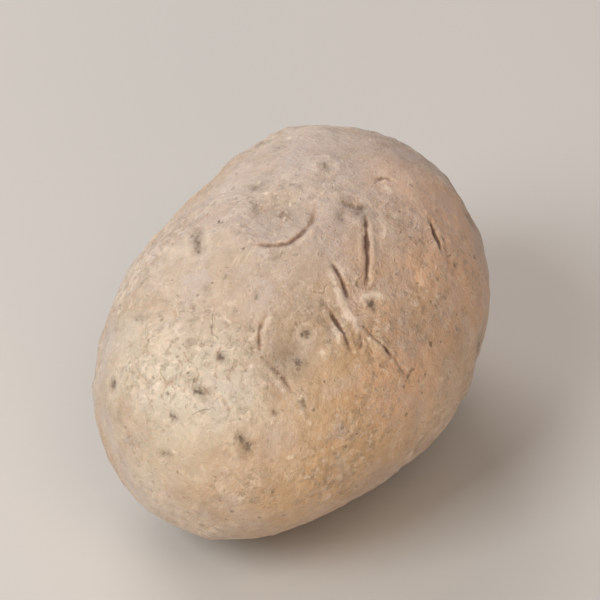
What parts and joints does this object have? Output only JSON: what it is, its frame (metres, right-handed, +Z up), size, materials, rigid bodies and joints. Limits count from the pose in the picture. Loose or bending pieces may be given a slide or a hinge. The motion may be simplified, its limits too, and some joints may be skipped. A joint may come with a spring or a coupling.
{
  "type": "potato",
  "caption": "Whole table potato with its skin on: a long oval tuber with shallow browed eyes, lying on its flattest side.",
  "frame": {"origin": "on the surface it rests on, under the middle of its bounding box", "axes": "+Z up; +X along the tuber towards its rose end, where it grew last; the stem end is at -X; +Y across"},
  "size_m": [0.104, 0.0704, 0.0629],
  "materials": {
    "skin": "dry, thin potato skin, tan and cream with a dusty film, matte to faintly silky"
  },
  "bodies": {
    "root": {"potato": "skin"}
  },
  "joints": []
}
